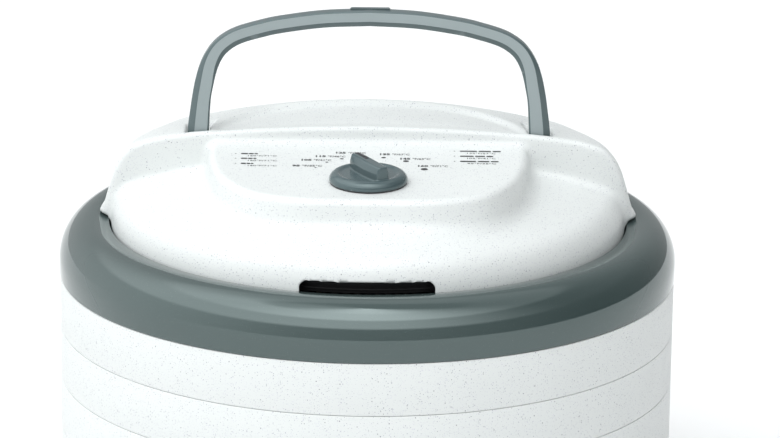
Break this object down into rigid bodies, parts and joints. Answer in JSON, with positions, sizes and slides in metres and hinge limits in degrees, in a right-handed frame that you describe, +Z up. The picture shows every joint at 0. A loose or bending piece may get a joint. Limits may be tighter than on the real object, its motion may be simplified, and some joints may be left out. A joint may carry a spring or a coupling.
{
  "type": "food dehydrator",
  "caption": "Round stacking food dehydrator with a top power head, folding bail handle, thermostat knob, lift-off trays and a shallow base pan.",
  "frame": {"origin": "centre of the base's underside, on the surface it stands on", "axes": "+Z up the stack's axis, -Y towards the control knob, +X to the right seen from the front"},
  "size_m": [0.3488, 0.3488, 0.3104],
  "materials": {
    "speckled_white": "fine dark-grey speckle in off-white, semi-gloss",
    "gloss_grey": "high gloss grey",
    "satin_grey": "satin grey",
    "dark_plastic": "matt dark plastic",
    "mica": "layered mica sheet",
    "steel": "bright steel",
    "zinc_plate": "zinc-plated sheet",
    "copper": "enamelled copper wire",
    "heater_wire": "oxidised resistance wire",
    "lead_cover": "silicone-covered lead"
  },
  "bodies": {
    "base": {"base_pan": "speckled_white"},
    "tray_5": {"tray_5_wall": "speckled_white", "tray_5_floor": "speckled_white"},
    "tray_4": {"tray_4_wall": "speckled_white", "tray_4_floor": "speckled_white"},
    "tray_3": {"tray_3_wall": "speckled_white", "tray_3_floor": "speckled_white"},
    "tray_2": {"tray_2_wall": "speckled_white", "tray_2_floor": "speckled_white"},
    "tray_1": {"tray_1_wall": "speckled_white", "tray_1_floor": "speckled_white"},
    "power_head": {"lower_housing": "gloss_grey", "upper_housing": "speckled_white", "intake_grille": "dark_plastic", "grille_screw_1": "steel", "grille_screw_2": "steel", "grille_screw_3": "steel", "housing_screw_1": "steel", "housing_screw_2": "steel", "housing_screw_3": "steel", "housing_screw_4": "steel", "handle_pin_left": "steel", "handle_pin_right": "steel", "thermostat_body": "dark_plastic", "thermostat_nut": "zinc_plate", "stator_core": "steel", "motor_coil": "copper", "bearing_bracket_lower": "zinc_plate", "bearing_bracket_upper": "zinc_plate", "motor_bolt_1": "steel", "motor_bolt_2": "steel", "motor_deck": "zinc_plate", "deck_screw_1": "steel", "deck_screw_2": "steel", "deck_screw_3": "steel", "deck_screw_4": "steel", "heater_coil": "heater_wire", "heater_board_1": "mica", "heater_board_2": "mica", "heater_board_3": "mica", "heater_board_4": "mica", "heater_board_5": "mica", "heater_board_6": "mica", "thermal_fuse": "steel", "terminal_block": "dark_plastic", "cord_gland": "dark_plastic", "gland_nut": "dark_plastic", "lead_thermostat": "lead_cover", "lead_motor": "lead_cover", "lead_fuse": "lead_cover"},
    "handle": {"handle": "satin_grey"},
    "knob": {"thermostat_knob": "satin_grey", "thermostat_shaft": "steel"},
    "fan": {"fan_impeller": "dark_plastic", "impeller_nut": "zinc_plate", "motor_shaft": "steel", "rotor_core": "steel"}
  },
  "joints": [
    {"name": "tray_5_lift", "type": "slide", "parent": "base", "child": "tray_5", "axis": [0, 0, 1], "range_m": [0, 0.06]},
    {"name": "tray_4_lift", "type": "slide", "parent": "tray_5", "child": "tray_4", "axis": [0, 0, 1], "range_m": [0, 0.06]},
    {"name": "tray_3_lift", "type": "slide", "parent": "tray_4", "child": "tray_3", "axis": [0, 0, 1], "range_m": [0, 0.06]},
    {"name": "tray_2_lift", "type": "slide", "parent": "tray_3", "child": "tray_2", "axis": [0, 0, 1], "range_m": [0, 0.06]},
    {"name": "tray_1_lift", "type": "slide", "parent": "tray_2", "child": "tray_1", "axis": [0, 0, 1], "range_m": [0, 0.06]},
    {"name": "power_head_lift", "type": "slide", "parent": "tray_1", "child": "power_head", "axis": [0, 0, 1], "range_m": [0, 0.08]},
    {"name": "handle_fold", "type": "hinge", "parent": "power_head", "child": "handle", "pos_m": [0, 0.0015, 0.229], "axis": [-1, 0, 0], "range_deg": [0, 55]},
    {"name": "thermostat_turn", "type": "hinge", "parent": "power_head", "child": "knob", "pos_m": [0, -0.0765, 0.23168], "axis": [0, -0.0349, 0.9994], "range_deg": [-80, 30]},
    {"name": "fan_spin", "type": "hinge", "parent": "power_head", "child": "fan", "pos_m": [0, 0, 0.199], "axis": [0, 0, 1], "continuous": true}
  ]
}
